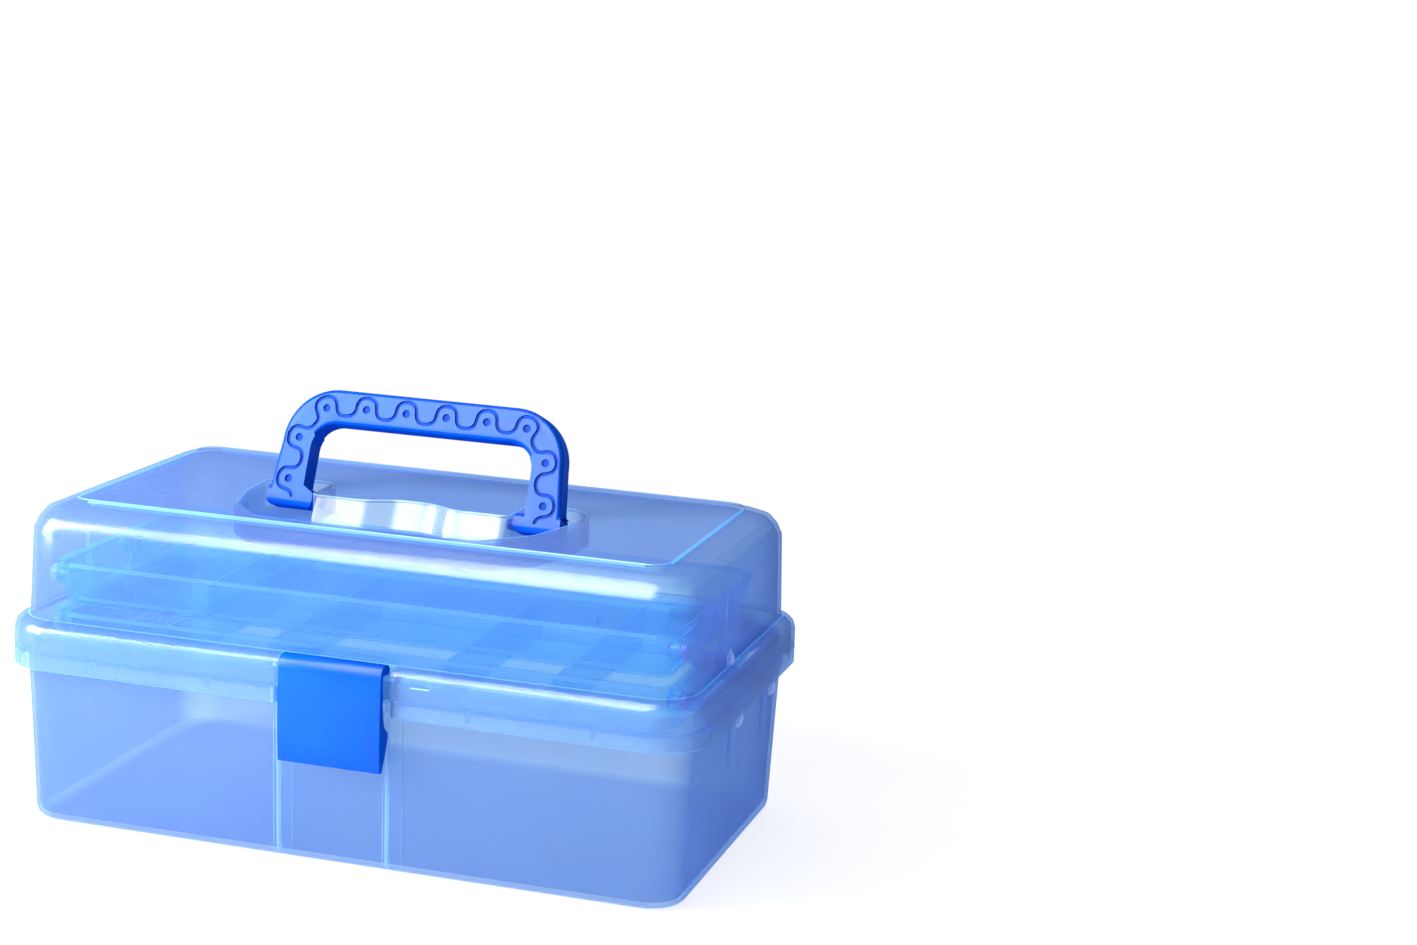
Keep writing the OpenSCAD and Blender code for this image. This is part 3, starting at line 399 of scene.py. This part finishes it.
def moulded_lid(work):
    """Breaks the edges of the raised panel, the well and the seat, and slopes the well's back wall."""
    chosen = [rim for rim in work.edges if rim.calc_face_angle(0.0) > CORNER_TURN
              and all(vert.co.z > PANEL_TOP * MM for vert in rim.verts)]
    bevel(work, chosen, PANEL_BREAK, 1)
    bevel(work, [rim for rim in work.edges if seat_mouth(rim)], SEAT_BREAK, 1)
    set_sharp(work.edges, SHARP_TURN)
    for vert in work.verts:
        if within(vert, WALL_LOW, WALL_HIGH):
            vert.co.y -= WALL_SLOPE * MM


LATCH_ROUND = 0.6
# shorter edges of the latch are the steps of its curves
LATCH_STEP = 1.5 * MM


def rounded_latch(work):
    """Rounds the latch's long edges."""
    chosen = [rim for rim in work.edges if not rim.smooth and rim.calc_length() > LATCH_STEP]
    for face in bevel(work, chosen, LATCH_ROUND, 3):
        face.smooth = True
        set_sharp(face.edges, LATCH_TURN)


SHAPES = {"carry_handle": rounded_handle, "lid_shell": moulded_lid, "front_latch": rounded_latch}
node_body = {n: b for b, ns in frame["record"]["behaviour"]["bodies"].items() for n in ns}
for material, slot, names in (
    (lilac_tub, "blue_clear_plastic", ("base_tub",)),
    (azure_lid, "blue_clear_plastic", ("lid_shell",)),
    (tray_blue, "blue_clear_plastic", ("lower_tray", "upper_tray")),
    (royal_blue, "royal_blue_plastic", ("front_latch", "carry_handle")),
    (milky, "milky_plastic", ("front_link_left", "front_link_right", "rear_link_left", "rear_link_right",
                              "upper_link_left", "upper_link_right", "lid_link_left", "lid_link_right",
                              "base_pivot_pins", "lower_tray_pins", "upper_tray_pins", "lid_pivot_pins")),
    (azure_lid, "blue_clear_plastic", ("hinge_pin_left", "hinge_pin_right")),
):
    for name in names:
        smoothed_copy(name, material)


# ---------------------------------------------------------------- floor, light and camera
FLOOR_SIZE = 6.0
FLOOR_GAP = 0.5 * MM
PAPER_GRAIN = 25 * MM
# the paper's own white grows from a share near the box to all further off, in metres from the middle
GLOW_FROM = 0.28
GLOW_TO = 0.85
GLOW_LEAST = 0.75
FILL = (0.96, 0.97, 1.0, 1.0)
FILL_STRENGTH = 0.6


def seen_rays(tree):
    """1 for what is seen straight, through a clear surface or in gloss, 0 for what lights the box."""
    path = node(tree, "ShaderNodeLightPath").outputs
    seen = node(tree, "ShaderNodeMath", {"operation": "MAXIMUM"},
                _0=path["Is Camera Ray"], _1=path["Is Transmission Ray"])
    return node(tree, "ShaderNodeMath", {"operation": "MAXIMUM"},
                _0=seen.outputs[0], _1=path["Is Glossy Ray"]).outputs[0]


def paper_floor():
    """White paper that glows to the eye: partly near the box, which keeps its shadow, wholly far away."""
    bpy.ops.mesh.primitive_plane_add(size=FLOOR_SIZE, location=(0, 0, -FLOOR_GAP))
    floor = bpy.context.object
    floor.name = "floor"
    made, tree, out = new_material("pale_floor")
    place = node(tree, "ShaderNodeTexCoord").outputs["Object"]
    grain = node(tree, "ShaderNodeTexNoise", Vector=place, Scale=1 / PAPER_GRAIN, Detail=2.0)
    tone = node(tree, "ShaderNodeValToRGB", stops=((0.0, "#FBFBFC"), (1.0, "#FFFFFF")),
                Fac=grain.outputs["Fac"])
    paper = node(tree, "ShaderNodeBsdfPrincipled", Base_Color=tone.outputs["Color"], Roughness=0.9)
    paper.inputs["Specular IOR Level"].default_value = 0.0
    away = node(tree, "ShaderNodeVectorMath", {"operation": "LENGTH"}, _0=place).outputs["Value"]
    glow = node(tree, "ShaderNodeMapRange", {"interpolation_type": "SMOOTHSTEP"}, Value=away,
                From_Min=GLOW_FROM, From_Max=GLOW_TO, To_Min=GLOW_LEAST, To_Max=1.0)
    share = node(tree, "ShaderNodeMath", {"operation": "MULTIPLY"},
                 _0=seen_rays(tree), _1=glow.outputs["Result"])
    white = node(tree, "ShaderNodeEmission", Color=WHITE, Strength=1.0)
    both = node(tree, "ShaderNodeMixShader", Fac=share.outputs[0], _1=paper.outputs[0], _2=white.outputs[0])
    tree.links.new(both.outputs[0], out.inputs["Surface"])
    floor.data.materials.append(made)


def white_surround():
    """A world that is white to look at and lights the box dimly and evenly."""
    world = bpy.data.worlds.new("white_surround")
    bpy.context.scene.world = world
    world.use_nodes = True
    tree = world.node_tree
    tree.nodes.clear()
    out = tree.nodes.new("ShaderNodeOutputWorld")
    white = node(tree, "ShaderNodeBackground", Color=WHITE, Strength=1.0)
    dim = node(tree, "ShaderNodeBackground", Color=FILL, Strength=FILL_STRENGTH)
    both = node(tree, "ShaderNodeMixShader", Fac=seen_rays(tree), _1=dim.outputs[0], _2=white.outputs[0])
    tree.links.new(both.outputs[0], out.inputs["Surface"])


def soft_box(name, place, aim, size, watts):
    """An area lamp of a size in metres, turned from its place to its aim."""
    lamp = bpy.data.lights.new(name, "AREA")
    lamp.shape = "RECTANGLE"
    lamp.size, lamp.size_y = size
    lamp.energy = watts
    box = bpy.data.objects.new(name, lamp)
    bpy.context.scene.collection.objects.link(box)
    box.location = place
    box.rotation_euler = (Vector(aim) - Vector(place)).to_track_quat("-Z", "Y").to_euler()
    return box


def lamps():
    """Soft boxes in front, at the left and above, and a sheet of light that only gloss sends back."""
    sheet = soft_box("soft_box_sheen", (-0.316, -0.868, 1.322), (0, 0, 0.14), (0.85, 1.7), 84)
    sheet.visible_diffuse = False
    sheet.visible_transmission = False
    soft_box("soft_box_front", (-0.35, -1.0, 1.15), (0, 0, 0.1), (1.3, 0.32), 11)
    soft_box("soft_box_left", (-0.72, -0.45, 0.42), (-0.05, 0, 0.08), (0.5, 0.5), 30)
    soft_box("soft_box_top", (-0.1, 0.5, 1.6), (0, 0, 0.1), (1.2, 0.9), 9)


# the camera: turn round the box, height above level and roll, in degrees
TURN = 15.868
LIFT = 11.995
ROLL = -2.653
# its focal length and the picture's width in pixels, and its shifts and distance in mm
FOCAL = 2667.03
PICTURE_WIDTH = 1417
SHIFT_ACROSS = -140.80
SHIFT_UP = -158.01
DISTANCE = 1256.50
SENSOR_WIDTH = 36.0


def camera():
    """Camera whose axes come from its turn, lift and roll, set back from the box along them."""
    turn, lift, roll = (math.radians(angle) for angle in (TURN, LIFT, ROLL))
    back = np.array([math.sin(turn) * math.cos(lift), -math.cos(turn) * math.cos(lift), math.sin(lift)])
    right = np.array([math.cos(turn), math.sin(turn), 0.0])
    up = np.cross(back, right)
    across = math.cos(roll) * right - math.sin(roll) * up
    upright = math.sin(roll) * right + math.cos(roll) * up
    eye = (-SHIFT_ACROSS * across - SHIFT_UP * upright + DISTANCE * back) * MM
    lens = bpy.data.cameras.new("photo_camera")
    lens.sensor_width = SENSOR_WIDTH
    lens.sensor_fit = "HORIZONTAL"
    lens.lens = FOCAL * SENSOR_WIDTH / PICTURE_WIDTH
    lens.clip_start = 0.01
    lens.clip_end = 20.0
    view = bpy.data.objects.new("photo_camera", lens)
    bpy.context.scene.collection.objects.link(view)
    turned = Matrix((across, upright, back)).transposed().to_4x4()
    turned.translation = Vector(eye)
    view.matrix_world = turned
    bpy.context.scene.camera = view


paper_floor()
white_surround()
lamps()
camera()
# light crosses up to two shells, two trays and their dividers: more clear surfaces than Blender's own limit
bpy.context.scene.cycles.transparent_max_bounces = 40
bpy.context.scene.view_settings.view_transform = "Standard"
bpy.context.view_layer.update()
